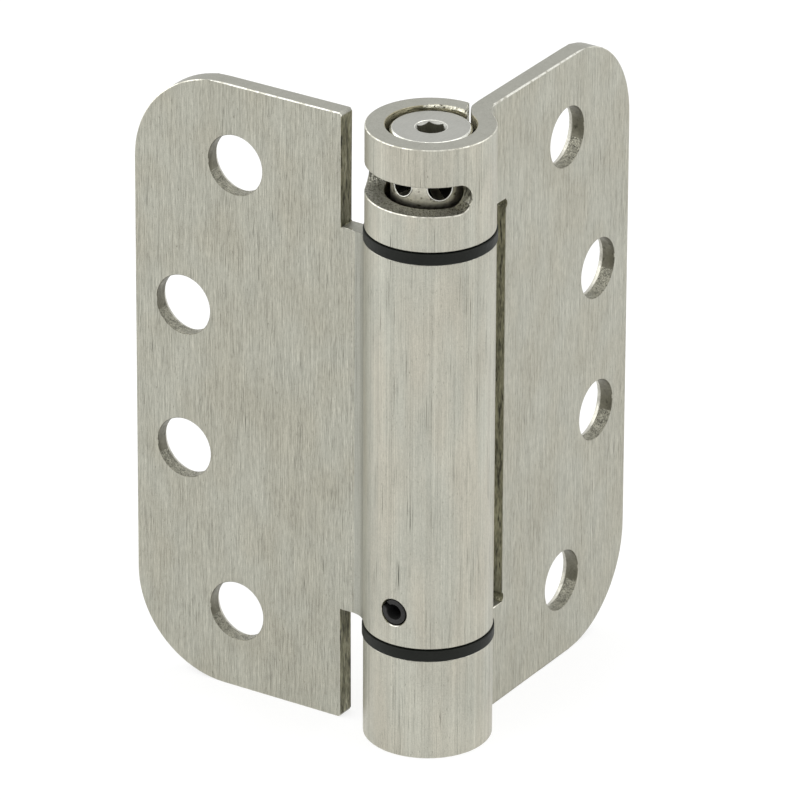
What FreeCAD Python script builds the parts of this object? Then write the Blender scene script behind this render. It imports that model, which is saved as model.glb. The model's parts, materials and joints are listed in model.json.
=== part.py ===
import FreeCAD, Part
import math
import os
import Sketcher
from FreeCAD import Placement, Rotation, Vector

# A spring loaded door hinge: two leaves rolled from the same plate section, a torsion spring in the
# centre knuckle, and an adjusting plug that winds it through a slot in the upper end knuckle.
# The barrel's axis is Z and its foot is the origin. The centre leaf lies along -X with its back
# face towards -Y, and the end leaf lies along +Y with its back face towards +X.

DIMENSIONS = [
    ("leaf_height", 101.6, "height of both leaves and of the barrel"),
    ("leaf_reach", 50.8, "barrel axis to the leaf's outer edge"),
    ("corner_radius", 15.875, "round outer corners of a leaf"),
    ("plate_thickness", 3.0, "rolled plate"),
    ("barrel_radius", 9.95, "outside of every knuckle"),
    ("face_offset", 4.1, "barrel axis to a leaf's back face"),
    ("bend_radius", 4.0, "inside of the bend between leaf and knuckle"),
    ("seam_gap", 0.6, "open seam where the roll comes back to its own leaf"),
    ("tail_round", 0.6, "round outer corner of the roll's tail"),
    ("end_knuckle", 16.7, "length of each of the two end knuckles"),
    ("bush_flange", 1.75, "bush flange between two knuckles"),
    ("flange_gap", 0.2, "open line above a bush flange"),
    ("notch_reach", 13.3, "axis to the edge of the centre leaf's two notches"),
    ("notch_round", 0.6, "round outer corner of the leaf at each notch"),
    ("window_reach", 14.8, "axis to the edge of the end leaf's window"),
    ("relief_radius", 0.9, "round relief in the window's corners"),
    ("relief_bite", 0.4, "how far a relief reaches into the leaf"),
    ("screw_hole_radius", 4.85, "screw hole at the back face"),
    ("countersink", 0.45, "countersink on the leaf's inner face, wider than the hole by this"),
    ("countersink_depth", 0.9, "depth of that countersink"),
    ("outer_hole_reach", 32.4, "axis to the two outer screw holes"),
    ("inner_hole_reach", 42.0, "axis to the two inner screw holes"),
    ("outer_hole_height", 13.1, "leaf end to the nearest screw hole"),
    ("inner_hole_height", 38.7, "leaf end to the second screw hole"),
    ("slot_drop", 8.5, "top face down to the middle of the adjusting slot"),
    ("slot_width", 4.7, "adjusting slot, along the barrel"),
    ("slot_first", 33.0, "first end radius of the slot, clockwise from +X"),
    ("slot_last", 156.0, "last end radius of the slot, clockwise from +X"),
    ("plug_recess", 0.45, "adjusting plug below the top face"),
    ("head_gap", 0.67, "open ring around the head of the adjusting plug"),
    ("plug_head", 2.2, "thickness of that head"),
    ("neck_step", 0.23, "drilled band inside the head's radius"),
    ("edge_chamfer", 0.35, "turned edges of the plugs"),
    ("bar_hole_radius", 1.95, "holes for the adjusting bar"),
    ("bar_hole_drop", 8.0, "top face down to the middle of those holes"),
    ("bar_hole_turn", 44.0, "first of those holes, clockwise from +X"),
    ("socket_flats", 4.0, "hexagon socket across its flats"),
    ("socket_depth", 5.0, "depth of the socket"),
    ("socket_turn", 10.6, "first corner of the socket from +X"),
    ("socket_lead", 0.15, "countersunk mouth of the socket"),
    ("sleeve_wall", 2.35, "wall of a bush sleeve"),
    ("running_clearance", 0.05, "journal in its bush, and plug on its bush"),
    ("seat_clearance", 0.05, "pressed pieces in the rolled bores"),
    ("sleeve_length", 8.0, "bush sleeve in its knuckle"),
    ("flange_overhang", 0.2, "bush flange past the barrel"),
    ("nose_clearance", 0.4, "slotted noses inside the spring"),
    ("nose_length", 6.5, "length of both noses"),
    ("nose_slot_depth", 5.5, "slot across a nose"),
    ("anchor_body", 11.5, "anchor plug inside the centre knuckle"),
    ("spigot_length", 10.6, "anchor plug below the centre knuckle"),
    ("pin_radius", 2.0, "spring roll pin"),
    ("pin_wall", 0.75, "sheet of the roll pin"),
    ("pin_slit", 0.9, "slit along the roll pin"),
    ("pin_slit_turn", 145.0, "place of the slit, seen from the pin's outer end"),
    ("pin_hole_radius", 2.2, "hole through the centre knuckle"),
    ("pin_rise", 5.55, "roll pin above the foot of the centre knuckle"),
    ("pin_recess", 0.15, "roll pin below the knuckle's outside"),
    ("pin_end_gap", 0.65, "roll pin's inner end to the far wall of the bore"),
    ("foot_plug", 5.0, "thickness of the plug in the barrel's foot"),
    ("spring_wire", 2.6, "square wire of the torsion spring"),
    ("wire_clearance", 0.05, "spring ends in the nose slots"),
    ("coil_clearance", 0.35, "spring inside the bore"),
    ("coil_gap", 0.15, "least space between two turns"),
]

doc = FreeCAD.newDocument("SpringDoorHinge")
sizes = doc.addObject("Spreadsheet::Sheet", "Sizes")
for row, (alias, number, note) in enumerate(DIMENSIONS, 1):
    sizes.set(f"A{row}", alias)
    sizes.set(f"B{row}", str(number))
    sizes.set(f"C{row}", note)
    sizes.setAlias(f"B{row}", alias)
doc.recompute()

# Heights and radii that follow from the driving dimensions.
CENTRE_FOOT = "(Sizes.end_knuckle + Sizes.bush_flange + Sizes.flange_gap)"
CENTRE_TOP = "(Sizes.leaf_height - Sizes.end_knuckle - Sizes.bush_flange - Sizes.flange_gap)"
UPPER_KNUCKLE = "(Sizes.leaf_height - Sizes.end_knuckle)"
BORE = "(Sizes.barrel_radius - Sizes.plate_thickness)"
SEATED = f"({BORE} - Sizes.seat_clearance)"
JOURNAL_BORE = f"({SEATED} - Sizes.sleeve_wall)"
JOURNAL = f"({JOURNAL_BORE} - Sizes.running_clearance)"
COIL = f"({BORE} - Sizes.coil_clearance - Sizes.spring_wire / 2)"
NOSE = f"({COIL} - Sizes.spring_wire / 2 - Sizes.nose_clearance)"
PIN_HEIGHT = f"({CENTRE_FOOT} + Sizes.pin_rise)"
PIN_TAIL = f"({BORE} - Sizes.pin_end_gap)"
PLUG_HEAD = f"({BORE} - Sizes.head_gap)"
PLUG_NECK = f"({PLUG_HEAD} - Sizes.neck_step)"
PLUG_TOP = "(Sizes.leaf_height - Sizes.plug_recess)"
PLUG_SHOULDER = f"({CENTRE_TOP} + Sizes.bush_flange + Sizes.running_clearance)"
JOURNAL_END = f"({CENTRE_TOP} - Sizes.sleeve_length - 1)"
UPPER_NOSE_END = f"({JOURNAL_END} - Sizes.nose_length)"
ANCHOR_TOP = f"({CENTRE_FOOT} + Sizes.anchor_body)"
LOWER_NOSE_END = f"({ANCHOR_TOP} + Sizes.nose_length)"
OUTSIDE = "(Sizes.barrel_radius + 5)"


def value(expression):
    """The number that an expression on the Sizes sheet gives."""
    return float(sizes.evalExpression(expression.replace("Sizes.", "")))


def new_body(label):
    body = doc.addObject("PartDesign::Body", label)
    body.Label = label
    return body


def new_sketch(body, name, plane, turn="0"):
    """A sketch on one of the body's own planes, turned about Z by an angle in degrees."""
    sketch = body.newObject("Sketcher::SketchObject", name)
    origin_plane = [f for f in body.Origin.OriginFeatures if f.Role == plane][0]
    sketch.AttachmentSupport = [(origin_plane, "")]
    sketch.MapMode = "FlatFace"
    if turn != "0":
        sketch.AttachmentOffset = Placement(Vector(), Rotation(Vector(0, 1, 0), value(turn)))
        sketch.setExpression("AttachmentOffset.Rotation.Angle", turn)
    return sketch


def dimension(sketch, kind, places, expression):
    """A driving dimension of a sketch, bound to the sheet."""
    index = sketch.addConstraint(Sketcher.Constraint(kind, *places, value(expression)))
    sketch.setExpression(f"Constraints[{index}]", expression)


def fix_point(sketch, geometry, point, across, up):
    """Places a sketch point by its two distances from the sketch's origin."""
    for kind, axis, expression in (("DistanceX", -2, across), ("DistanceY", -1, up)):
        number = value(expression)
        if abs(number) < 1e-7:
            sketch.addConstraint(Sketcher.Constraint("PointOnObject", geometry, point, axis))
        elif number > 0:
            dimension(sketch, kind, (-1, 1, geometry, point), expression)
        else:
            dimension(sketch, kind, (geometry, point, -1, 1), f"-({expression})")


def draw_outline(sketch, corners):
    """A closed polygon whose corners are pairs of expressions."""
    points = [Vector(value(across), value(up), 0) for across, up in corners]
    first = sketch.GeometryCount
    count = len(points)
    for index in range(count):
        sketch.addGeometry(Part.LineSegment(points[index], points[(index + 1) % count]), False)
    for index, (across, up) in enumerate(corners):
        line = first + index
        fix_point(sketch, line, 1, across, up)
        before = first + (index - 1) % count
        sketch.addConstraint(Sketcher.Constraint("Coincident", before, 2, line, 1))


def draw_rectangle(sketch, left, low, right, high):
    draw_outline(sketch, [(left, low), (right, low), (right, high), (left, high)])


def draw_circle(sketch, across, up, radius):
    centre = Vector(value(across), value(up), 0)
    index = sketch.addGeometry(Part.Circle(centre, Vector(0, 0, 1), value(radius)), False)
    dimension(sketch, "Radius", (index,), radius)
    fix_point(sketch, index, 3, across, up)


def pad(body, sketch, length):
    feature = body.newObject("PartDesign::Pad", f"{sketch.Name}Pad")
    feature.Profile = sketch
    feature.setExpression("Length", length)
    sketch.Visibility = False
    return feature


def pocket(body, sketch, length, symmetric=False):
    """Cuts the sketch into the body, both ways or against the sketch's normal."""
    feature = body.newObject("PartDesign::Pocket", f"{sketch.Name}Pocket")
    feature.Profile = sketch
    feature.Midplane = symmetric
    feature.setExpression("Length", length)
    sketch.Visibility = False
    return feature


def turned(body, name, corners):
    """A solid of revolution about Z, from pairs of radius and height."""
    sketch = new_sketch(body, name, "XZ_Plane")
    draw_outline(sketch, corners)
    feature = body.newObject("PartDesign::Revolution", f"{name}Turned")
    feature.Profile = sketch
    feature.ReferenceAxis = (sketch, ["V_Axis"])
    feature.Angle = 360
    sketch.Visibility = False
    return feature


def edge_names(shape, wanted):
    return [f"Edge{i}" for i, edge in enumerate(shape.Edges, 1) if wanted(edge)]


# Both leaves start as one rolled plate. X runs out along the leaf and Y out of its back face.

def draw_rolled_section(sketch):
    """The plate's section: flat leaf, bend, and the roll that comes back to the bend."""
    outer, inner = value("Sizes.barrel_radius"), value(BORE)
    bend = value("Sizes.bend_radius")
    thick = value("Sizes.plate_thickness")
    face = value("Sizes.face_offset")
    reach = value("Sizes.leaf_reach")
    far_bend = bend + thick
    seam = far_bend + value("Sizes.seam_gap")
    middle = Vector(math.sqrt((outer + bend) ** 2 - (face + bend) ** 2), face + bend, 0)
    start = math.atan2(middle.y, middle.x)

    def tail_turn(radius):
        """How far short of a full turn the roll ends, at one of its two faces."""
        span = radius ** 2 + middle.Length ** 2 - seam ** 2
        return start - math.acos(span / (2 * radius * middle.Length))

    def seen_from_middle(radius, turn):
        point = Vector(radius * math.cos(turn), radius * math.sin(turn), 0) - middle
        return math.atan2(point.y, point.x)

    normal = Vector(0, 0, 1)
    origin = Vector()
    full = 2 * math.pi

    def arc(centre, radius, first, last):
        circle = Part.Circle(centre, normal, radius)
        return sketch.addGeometry(Part.ArcOfCircle(circle, first, last), False)

    def line(first, last):
        return sketch.addGeometry(Part.LineSegment(Vector(*first, 0), Vector(*last, 0)), False)

    back = line((reach, face), (middle.x, face))
    near_arc = arc(middle, bend, start + math.pi, 1.5 * math.pi)
    outside = arc(origin, outer, start, tail_turn(outer) + full)
    tail_angles = [seen_from_middle(r, tail_turn(r)) for r in (inner, outer)]
    tail = arc(middle, seam, *tail_angles)
    inside = arc(origin, inner, start, tail_turn(inner) + full)
    far_arc = arc(middle, far_bend, start + math.pi, 1.5 * math.pi)
    front = line((middle.x, face - thick), (reach, face - thick))
    edge = line((reach, face - thick), (reach, face))

    relations = [
        ("Coincident", outside, 3, -1, 1),
        ("Coincident", inside, 3, -1, 1),
        ("Coincident", tail, 3, near_arc, 3),
        ("Coincident", far_arc, 3, near_arc, 3),
        ("Horizontal", back),
        ("Tangent", back, 2, near_arc, 2),
        ("Tangent", near_arc, 1, outside, 1),
        ("Coincident", outside, 2, tail, 2),
        ("Coincident", tail, 1, inside, 2),
        ("Tangent", inside, 1, far_arc, 1),
        ("Tangent", far_arc, 2, front, 1),
        ("Horizontal", front),
        ("Coincident", front, 2, edge, 1),
        ("Vertical", edge),
        ("Coincident", edge, 2, back, 1),
    ]
    for kind, *places in relations:
        sketch.addConstraint(Sketcher.Constraint(kind, *places))
    dimension(sketch, "Radius", (outside,), "Sizes.barrel_radius")
    dimension(sketch, "Radius", (inside,), BORE)
    dimension(sketch, "Radius", (near_arc,), "Sizes.bend_radius")
    dimension(sketch, "Radius", (tail,), "Sizes.bend_radius + Sizes.plate_thickness + Sizes.seam_gap")
    dimension(sketch, "DistanceY", (-1, 1, back, 1), "Sizes.face_offset")
    dimension(sketch, "DistanceX", (-1, 1, back, 1), "Sizes.leaf_reach")


def rolled_leaf(label):
    """A full-height leaf with its roll and its round outer corners."""
    body = new_body(label)
    section = new_sketch(body, f"{label}_section", "XY_Plane")
    draw_rolled_section(section)
    blank = pad(body, section, "Sizes.leaf_height")
    doc.recompute()

    def is_corner(edge):
        box = edge.BoundBox
        at_edge = box.XMin > value("Sizes.leaf_reach") - 0.01
        return at_edge and box.YLength > value("Sizes.plate_thickness") - 0.01

    corners = body.newObject("PartDesign::Fillet", f"{label}_corners")
    corners.Base = (blank, edge_names(blank.Shape, is_corner))
    corners.setExpression("Radius", "Sizes.corner_radius")
    doc.recompute()

    def is_tail(edge):
        """The upright edge at the knuckle's radius where the roll ends, lower than the back face."""
        box = edge.BoundBox
        upright = box.ZLength > value("Sizes.leaf_height") - 0.01 and box.XLength < 0.01
        on_outside = abs(math.hypot(box.XMin, box.YMin) - value("Sizes.barrel_radius")) < 0.01
        return upright and on_outside and box.YMin < value("Sizes.face_offset")

    tail = body.newObject("PartDesign::Fillet", f"{label}_tail")
    tail.Base = (corners, edge_names(corners.Shape, is_tail))
    tail.setExpression("Radius", "Sizes.tail_round")
    return body


def screw_holes(body, label):
    """Four staggered screw holes, countersunk on the face that closes on the other leaf."""
    sketch = new_sketch(body, f"{label}_screws", "XZ_Plane")
    for reach, height in (("outer_hole_reach", "outer_hole_height"),
                          ("inner_hole_reach", "inner_hole_height")):
        for up in (f"Sizes.{height}", f"Sizes.leaf_height - Sizes.{height}"):
            draw_circle(sketch, f"Sizes.{reach}", up, "Sizes.screw_hole_radius")
    holes = pocket(body, sketch, f"2 * {OUTSIDE}", symmetric=True)
    doc.recompute()
    front = value("Sizes.face_offset - Sizes.plate_thickness")
    radius = value("Sizes.screw_hole_radius")

    def is_front_rim(edge):
        box = edge.BoundBox
        on_front = abs(box.YMin - front) < 0.001 and abs(box.YMax - front) < 0.001
        return on_front and abs(box.ZLength - 2 * radius) < 0.01 and box.XLength > radius

    rims = body.newObject("PartDesign::Chamfer", f"{label}_countersinks")
    rims.Base = (holes, edge_names(holes.Shape, is_front_rim))
    rims.ChamferType = "Two distances"
    rims.setExpression("Size", "Sizes.countersink")
    rims.setExpression("Size2", "Sizes.countersink_depth")


def centre_knuckle_leaf():
    """The leaf that carries the centre knuckle, with a notch at each end for the other leaf."""
    label = "centre_knuckle_leaf"
    body = rolled_leaf(label)
    notches = new_sketch(body, "notches", "XZ_Plane")
    draw_rectangle(notches, f"-{OUTSIDE}", "-1", "Sizes.notch_reach", CENTRE_FOOT)
    draw_rectangle(notches, f"-{OUTSIDE}", CENTRE_TOP, "Sizes.notch_reach", "Sizes.leaf_height + 1")
    cut = pocket(body, notches, f"4 * {OUTSIDE}", symmetric=True)
    doc.recompute()

    def is_notch_corner(edge):
        box = edge.BoundBox
        along_notch = abs(box.XMin - value("Sizes.notch_reach")) < 0.01 and box.XLength < 0.01
        at_end = box.ZMin > value("Sizes.leaf_height") - 0.01 or box.ZMax < 0.01
        return along_notch and at_end

    rounds = body.newObject("PartDesign::Fillet", "notch_rounds")
    rounds.Base = (cut, edge_names(cut.Shape, is_notch_corner))
    rounds.setExpression("Radius", "Sizes.notch_round")
    pin_hole = new_sketch(body, "pin_hole", "XZ_Plane")
    draw_circle(pin_hole, "0", PIN_HEIGHT, "Sizes.pin_hole_radius")
    pocket(body, pin_hole, OUTSIDE)
    screw_holes(body, label)
    body.Placement = Placement(Vector(), Rotation(Vector(0, 0, 1), 180))
    return body


def end_knuckle_leaf():
    """The leaf with the two end knuckles. It is the same roll turned over, end for end."""
    label = "end_knuckle_leaf"
    body = rolled_leaf(label)
    window = new_sketch(body, "window", "XZ_Plane")
    draw_rectangle(window, f"-{OUTSIDE}", "Sizes.end_knuckle", "Sizes.window_reach", UPPER_KNUCKLE)
    pocket(body, window, f"4 * {OUTSIDE}", symmetric=True)
    reliefs = new_sketch(body, "reliefs", "XZ_Plane")
    relief_middle = "Sizes.window_reach + Sizes.relief_bite - Sizes.relief_radius"
    for up in ("Sizes.end_knuckle + Sizes.relief_radius", f"{UPPER_KNUCKLE} - Sizes.relief_radius"):
        draw_circle(reliefs, relief_middle, up, "Sizes.relief_radius")
    pocket(body, reliefs, f"4 * {OUTSIDE}", symmetric=True)
    cut_adjusting_slot(body)
    screw_holes(body, label)
    over = Rotation(Vector(1, 1, 0), 180)
    body.Placement = Placement(Vector(0, 0, value("Sizes.leaf_height")), over)
    body.setExpression("Placement.Base.z", "Sizes.leaf_height")
    return body


def cut_adjusting_slot(body):
    """A round-ended slot around the upper knuckle. Here the leaf is still end for end, so an angle
    clockwise from the row's +X is counted from the leaf's own -Y plane, and heights run down."""
    height = "Sizes.slot_drop"
    half = "(Sizes.slot_width / 2)"
    band = new_sketch(body, "slot_band", "XZ_Plane", "Sizes.slot_first + 90")
    draw_rectangle(band, f"{BORE} - 2", f"{height} - {half}", OUTSIDE, f"{height} + {half}")
    groove = body.newObject("PartDesign::Groove", "slot_groove")
    groove.Profile = band
    groove.ReferenceAxis = (band, ["V_Axis"])
    groove.setExpression("Angle", "Sizes.slot_last - Sizes.slot_first")
    band.Visibility = False
    for name, turn in (("slot_start", "Sizes.slot_first"), ("slot_finish", "Sizes.slot_last")):
        end = new_sketch(body, name, "XZ_Plane", turn)
        draw_circle(end, "0", height, half)
        pocket(body, end, OUTSIDE)


# The adjusting plug, the anchor plug and the pieces that they turn in.

def adjusting_plug():
    """Turned plug with a hexagon socket, three cross holes for a bar, and a slotted nose."""
    body = new_body("adjusting_plug")
    chamfer = "Sizes.edge_chamfer"
    head_foot = f"{PLUG_TOP} - Sizes.plug_head"
    turned(body, "plug_profile", [
        ("0", UPPER_NOSE_END),
        (NOSE, UPPER_NOSE_END),
        (NOSE, JOURNAL_END),
        (JOURNAL, JOURNAL_END),
        (JOURNAL, PLUG_SHOULDER),
        (PLUG_NECK, PLUG_SHOULDER),
        (PLUG_NECK, head_foot),
        (PLUG_HEAD, head_foot),
        (PLUG_HEAD, f"{PLUG_TOP} - {chamfer}"),
        (f"{PLUG_HEAD} - {chamfer}", PLUG_TOP),
        ("0", PLUG_TOP),
    ])
    hexagon = new_sketch(body, "socket", "XY_Plane")
    corner = "Sizes.socket_flats / 2 / cos(30)"
    turns = [f"(Sizes.socket_turn + {60 * k})" for k in range(6)]
    draw_outline(hexagon, [(f"{corner} * cos({t})", f"{corner} * sin({t})") for t in turns])
    hexagon.setExpression("AttachmentOffset.Base.z", PLUG_TOP)
    pocket(body, hexagon, "Sizes.socket_depth")
    mouth = new_sketch(body, "socket_mouth", "XZ_Plane")
    draw_outline(mouth, [
        ("0", PLUG_TOP),
        (f"{corner} + Sizes.socket_lead", PLUG_TOP),
        ("0", f"{PLUG_TOP} - {corner} - Sizes.socket_lead"),
    ])
    cone = body.newObject("PartDesign::Groove", "socket_cone")
    cone.Profile = mouth
    cone.ReferenceAxis = (mouth, ["V_Axis"])
    cone.Angle = 360
    mouth.Visibility = False
    bar_hole = new_sketch(body, "bar_hole", "XZ_Plane", "90 - Sizes.bar_hole_turn")
    draw_circle(bar_hole, "0", "Sizes.leaf_height - Sizes.bar_hole_drop", "Sizes.bar_hole_radius")
    drilled = pocket(body, bar_hole, f"4 * {OUTSIDE}", symmetric=True)
    pattern = body.newObject("PartDesign::PolarPattern", "bar_holes")
    pattern.Originals = [drilled]
    pattern.Axis = ([f for f in body.Origin.OriginFeatures if f.Role == "Z_Axis"][0], [""])
    pattern.Angle = 120
    pattern.Occurrences = 3
    body.Tip = pattern
    slot = new_sketch(body, "upper_nose_slot", "YZ_Plane")
    half = "(Sizes.spring_wire / 2 + Sizes.wire_clearance)"
    draw_rectangle(slot, f"-{half}", f"{UPPER_NOSE_END} - 1", half,
                   f"{UPPER_NOSE_END} + Sizes.nose_slot_depth")
    pocket(body, slot, f"4 * {OUTSIDE}", symmetric=True)
    return body


def anchor_plug():
    """Turned plug pinned into the centre knuckle. Its spigot carries the lower end knuckle."""
    body = new_body("anchor_plug")
    spigot_foot = f"{CENTRE_FOOT} - Sizes.spigot_length"
    chamfer = "Sizes.edge_chamfer"
    turned(body, "anchor_profile", [
        ("0", spigot_foot),
        (f"{JOURNAL} - {chamfer}", spigot_foot),
        (JOURNAL, f"{spigot_foot} + {chamfer}"),
        (JOURNAL, CENTRE_FOOT),
        (SEATED, CENTRE_FOOT),
        (SEATED, ANCHOR_TOP),
        (NOSE, ANCHOR_TOP),
        (NOSE, LOWER_NOSE_END),
        ("0", LOWER_NOSE_END),
    ])
    cross = new_sketch(body, "cross_hole", "XZ_Plane")
    draw_circle(cross, "0", PIN_HEIGHT, "Sizes.pin_radius + Sizes.seat_clearance")
    pocket(body, cross, f"4 * {OUTSIDE}", symmetric=True)
    slot = new_sketch(body, "lower_nose_slot", "YZ_Plane")
    half = "(Sizes.spring_wire / 2 + Sizes.wire_clearance)"
    draw_rectangle(slot, f"-{half}", f"{LOWER_NOSE_END} - Sizes.nose_slot_depth", half,
                   f"{LOWER_NOSE_END} + 1")
    pocket(body, slot, f"4 * {OUTSIDE}", symmetric=True)
    return body


def flanged_bush(label, seat):
    """Nylon bush: its flange lies on a knuckle and its sleeve goes down into the bore."""
    body = new_body(label)
    flange = "Sizes.barrel_radius + Sizes.flange_overhang"
    turned(body, f"{label}_profile", [
        (JOURNAL_BORE, f"{seat} - Sizes.sleeve_length"),
        (SEATED, f"{seat} - Sizes.sleeve_length"),
        (SEATED, seat),
        (flange, seat),
        (flange, f"{seat} + Sizes.bush_flange"),
        (JOURNAL_BORE, f"{seat} + Sizes.bush_flange"),
    ])
    return body


def foot_plug():
    """Plain plug pressed flush into the barrel's foot."""
    body = new_body("foot_plug")
    chamfer = "Sizes.edge_chamfer"
    turned(body, "foot_profile", [
        ("0", "0"),
        (SEATED, "0"),
        (SEATED, f"Sizes.foot_plug - {chamfer}"),
        (f"{SEATED} - {chamfer}", "Sizes.foot_plug"),
        ("0", "Sizes.foot_plug"),
    ])
    return body


def roll_pin():
    """Slotted spring pin that fixes the anchor plug in the centre knuckle."""
    body = new_body("roll_pin")
    ring = new_sketch(body, "pin_ring", "XY_Plane")
    draw_circle(ring, "0", "0", "Sizes.pin_radius")
    draw_circle(ring, "0", "0", "Sizes.pin_radius - Sizes.pin_wall")
    pad(body, ring, f"Sizes.barrel_radius - Sizes.pin_recess + {PIN_TAIL}")
    slit = new_sketch(body, "pin_slit", "XZ_Plane")
    draw_rectangle(slit, "0", "-1", "2 * Sizes.pin_radius", "2 * Sizes.barrel_radius")
    pocket(body, slit, "Sizes.pin_slit", symmetric=True)
    outward = Rotation(Vector(1, 0, 0), 90)
    around = Rotation(Vector(0, 0, 1), value("Sizes.pin_slit_turn"))
    body.Placement = Placement(Vector(0, value(PIN_TAIL), value(PIN_HEIGHT)),
                               outward.multiply(around))
    body.setExpression("Placement.Base.y", PIN_TAIL)
    body.setExpression("Placement.Base.z", PIN_HEIGHT)
    return body


def square_coil(radius, wire, low, rise, turns):
    """A helix of square wire about Z, with flat facets between its radial sections."""
    facets = 12
    corners = [(-wire / 2, -wire / 2), (wire / 2, -wire / 2), (wire / 2, wire / 2), (-wire / 2, wire / 2)]
    sections = []
    for step in range(round(turns * facets) + 1):
        turn = 2 * math.pi * step / facets
        height = low + rise * step / facets
        sections.append([
            Vector((radius + out) * math.cos(turn), (radius + out) * math.sin(turn), height + up)
            for out, up in corners
        ])
    faces = [Part.Face(Part.makePolygon([*ring, ring[0]])) for ring in (sections[0], sections[-1])]
    for ring, following in zip(sections, sections[1:]):
        for side in range(4):
            after = (side + 1) % 4
            for triangle in ([ring[side], ring[after], following[after]],
                             [ring[side], following[after], following[side]]):
                faces.append(Part.Face(Part.makePolygon([*triangle, triangle[0]])))
    coil = Part.makeSolid(Part.makeShell(faces))
    return coil


def torsion_spring():
    """Close-wound spring of square wire. Each end crosses the slot of a plug's nose."""
    wire = value("Sizes.spring_wire")
    radius = value(COIL)
    clearance = value("Sizes.wire_clearance")
    low = value(f"{LOWER_NOSE_END} - Sizes.nose_slot_depth") + wire / 2 + clearance
    high = value(f"{UPPER_NOSE_END} + Sizes.nose_slot_depth") - wire / 2 - clearance
    turns = math.floor(2 * (high - low) / (wire + value("Sizes.coil_gap"))) / 2
    coil = square_coil(radius, wire, low, (high - low) / turns, turns)
    end_length = radius + wire / 2 + value(NOSE)
    ends = []
    for height, turn in ((low, 0), (high, 360 * turns)):
        end = Part.makeBox(end_length, wire, wire)
        end.translate(Vector(-value(NOSE), -wire / 2, height - wire / 2))
        end.rotate(Vector(), Vector(0, 0, 1), turn)
        ends.append(end)
    spring = doc.addObject("Part::Feature", "torsion_spring")
    spring.Label = "torsion_spring"
    spring.Shape = coil.fuse(ends)
    return spring


parts = [
    centre_knuckle_leaf(),
    end_knuckle_leaf(),
    adjusting_plug(),
    anchor_plug(),
    flanged_bush("upper_bush", CENTRE_TOP),
    flanged_bush("lower_bush", "Sizes.end_knuckle"),
    foot_plug(),
    roll_pin(),
    torsion_spring(),
]
doc.recompute()

for item in doc.Objects:
    if "Invalid" in item.State or "Error" in item.State:
        raise RuntimeError(f"{item.Label} did not recompute: {item.State}")
for part in parts:
    if part.Shape.isNull() or not part.Shape.isValid():
        raise RuntimeError(f"{part.Label} has no valid shape")
    if len(part.Shape.Solids) != 1:
        raise RuntimeError(f"{part.Label} has {len(part.Shape.Solids)} solids")

os.makedirs("parts", exist_ok=True)
for part in parts:
    part.Shape.exportStep(f"parts/{part.Label}.step")
    print(part.Label, round(part.Shape.Volume, 1), part.Shape.BoundBox)
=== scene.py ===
# %% [markdown]
# A spring loaded door hinge, dressed for its photograph.
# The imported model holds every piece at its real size. This script takes that model as a fixed
# frame and gives each piece its finish: brushed nickel plate, sheared edges, turned plugs, nylon
# washers. Everything is in metres, in the frame's own place: the barrel's axis is Z and its foot
# is the origin.

# %% The frame
import json
import math

import bmesh
import bpy
from mathutils import Matrix, Vector, noise


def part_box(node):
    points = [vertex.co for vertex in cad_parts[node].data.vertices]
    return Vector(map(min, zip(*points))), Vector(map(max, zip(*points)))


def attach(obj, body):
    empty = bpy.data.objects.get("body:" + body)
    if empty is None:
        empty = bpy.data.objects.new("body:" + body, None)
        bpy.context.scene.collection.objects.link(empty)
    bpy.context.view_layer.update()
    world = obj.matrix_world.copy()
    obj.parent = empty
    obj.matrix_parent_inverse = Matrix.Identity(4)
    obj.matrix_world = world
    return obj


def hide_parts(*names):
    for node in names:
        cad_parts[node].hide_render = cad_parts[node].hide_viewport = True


MM = 0.001
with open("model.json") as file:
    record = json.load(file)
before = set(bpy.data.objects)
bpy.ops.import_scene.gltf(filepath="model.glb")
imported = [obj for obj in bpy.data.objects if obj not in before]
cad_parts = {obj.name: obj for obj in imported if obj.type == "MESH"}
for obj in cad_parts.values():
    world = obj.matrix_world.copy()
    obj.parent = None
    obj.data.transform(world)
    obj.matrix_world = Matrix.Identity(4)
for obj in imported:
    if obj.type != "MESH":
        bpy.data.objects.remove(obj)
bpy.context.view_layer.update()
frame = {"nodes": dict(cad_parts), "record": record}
scene = bpy.context.scene
scene.view_settings.view_transform = "Standard"


# %% [markdown]
# The camera comes first, because every later choice is judged through it. A product photograph
# like this one is taken with a long lens from a little above. The lens, distance and angles were
# found by fitting the hinge's corners, holes and rims to their places in the photograph. The fit
# is written in an upright frame that faces the camera, and the whole camera is then turned about
# the barrel's axis.

# %% Camera
LENS_MM = 405.0
SENSOR_MM = 36.0
CLIP_NEAR = 0.05
CLIP_FAR = 20.0
ELEVATION = math.radians(25.42)
ROLL = math.radians(0.27)
TURN = math.radians(32.45)
DISTANCE = 1.36106
TARGET = Vector((-0.00445, 0.0, 0.05599))


def aim_camera():
    """Puts the camera where the photograph's camera stood."""
    forward = Vector((0, math.cos(ELEVATION), -math.sin(ELEVATION)))
    right = Vector((1, 0, 0))
    up = right.cross(forward)
    axes = Matrix((right, up, -forward)).transposed().to_4x4()
    place = Matrix.Translation(TARGET - forward * DISTANCE)
    data = bpy.data.cameras.new("camera")
    data.sensor_width = SENSOR_MM
    data.lens = LENS_MM
    data.clip_start = CLIP_NEAR
    data.clip_end = CLIP_FAR
    camera = bpy.data.objects.new("camera", data)
    turned = Matrix.Rotation(TURN, 4, "Z") @ place
    camera.matrix_world = turned @ axes @ Matrix.Rotation(ROLL, 4, "Z")
    scene.collection.objects.link(camera)
    scene.camera = camera
    return camera


camera = aim_camera()
print("camera at", [round(number, 3) for number in camera.location], "lens", camera.data.lens)

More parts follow.
